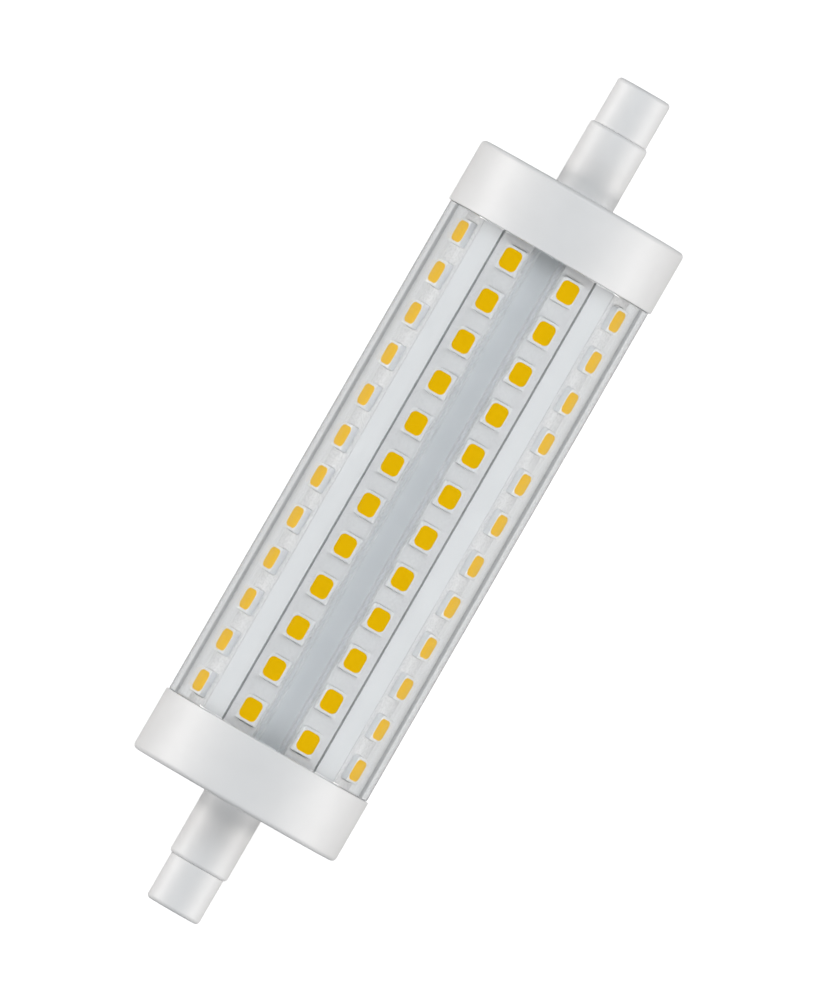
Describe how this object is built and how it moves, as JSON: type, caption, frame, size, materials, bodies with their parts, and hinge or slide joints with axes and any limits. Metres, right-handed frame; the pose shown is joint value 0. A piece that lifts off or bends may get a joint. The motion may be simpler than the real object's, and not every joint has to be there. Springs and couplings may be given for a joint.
{
  "type": "linear led bulb",
  "caption": "Double-ended linear LED lamp: a clear tube over columns of yellow LEDs on white boards, between white stepped end caps with recessed contacts.",
  "frame": {"origin": "centre of the lamp", "axes": "+X along the lamp towards end a, +Z out between the two front LED boards"},
  "size_m": [0.118, 0.029, 0.029],
  "materials": {
    "clear_plastic": "clear, polished",
    "white_plastic": "satin white moulding",
    "contact_metal": "bright nickel plate",
    "carrier_white": "white powder coat",
    "board_white": "white solder mask on metal core board",
    "led_white": "white reflector moulding",
    "led_yellow": "yellow phosphor in silicone",
    "circuit_board": "green solder mask",
    "black_moulding": "black epoxy",
    "can_metal": "drawn can",
    "ferrite": "sintered ferrite",
    "fuse_body": "fired ceramic with plated ends",
    "wire_sleeve": "white silicone insulation"
  },
  "bodies": {
    "root": {"clear_cover": "clear_plastic", "end_cap_a": "white_plastic", "base_sleeve_a": "white_plastic", "contact_a": "contact_metal", "link_ring_a": "circuit_board", "supply_wire_a": "wire_sleeve", "end_cap_b": "white_plastic", "base_sleeve_b": "white_plastic", "contact_b": "contact_metal", "link_ring_b": "circuit_board", "supply_wire_b": "wire_sleeve", "carrier_front": "carrier_white", "carrier_rear": "carrier_white", "led_board_1": "board_white", "led_packages_1": "led_white", "led_phosphor_1": "led_yellow", "led_board_2": "board_white", "led_packages_2": "led_white", "led_phosphor_2": "led_yellow", "led_board_3": "board_white", "led_packages_3": "led_white", "led_phosphor_3": "led_yellow", "led_board_4": "board_white", "led_packages_4": "led_white", "led_phosphor_4": "led_yellow", "led_board_5": "board_white", "led_packages_5": "led_white", "led_phosphor_5": "led_yellow", "led_board_6": "board_white", "led_packages_6": "led_white", "led_phosphor_6": "led_yellow", "led_board_7": "board_white", "led_packages_7": "led_white", "led_phosphor_7": "led_yellow", "led_board_8": "board_white", "led_packages_8": "led_white", "led_phosphor_8": "led_yellow", "driver_board": "circuit_board", "bridge_rectifier": "black_moulding", "driver_chip": "black_moulding", "smoothing_capacitor": "can_metal", "choke": "ferrite", "input_fuse": "fuse_body"}
  },
  "joints": []
}
